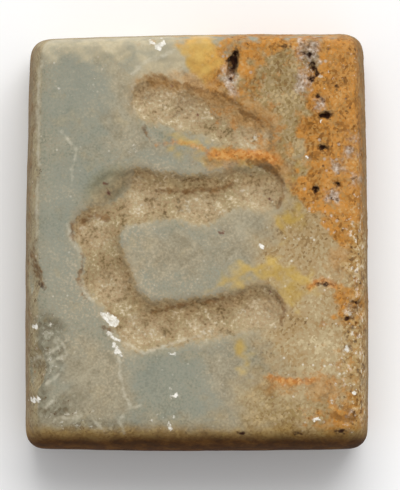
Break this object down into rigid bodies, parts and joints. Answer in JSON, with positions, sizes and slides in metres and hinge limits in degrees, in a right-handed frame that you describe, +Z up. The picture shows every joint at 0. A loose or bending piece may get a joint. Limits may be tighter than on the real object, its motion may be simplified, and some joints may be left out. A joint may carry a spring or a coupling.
{
  "type": "stamp seal",
  "caption": "Small oblong stone stamp seal with rounded shoulders, a flat back and a face cut with a short slanting stroke over a C-shaped hook, for pressing a mark into clay or wax.",
  "frame": {"origin": "on the ground, under the middle of the block's outline, with the seal lying on its flat back", "axes": "+Z up out of the carved face, +Y along the block towards the head of the face, +X to the right of the face"},
  "size_m": [0.0248, 0.0301, 0.01],
  "materials": {
    "stone": "worn polish, iron-stained, with rough pecked hollows"
  },
  "bodies": {
    "root": {"seal_stone": "stone"}
  },
  "joints": []
}
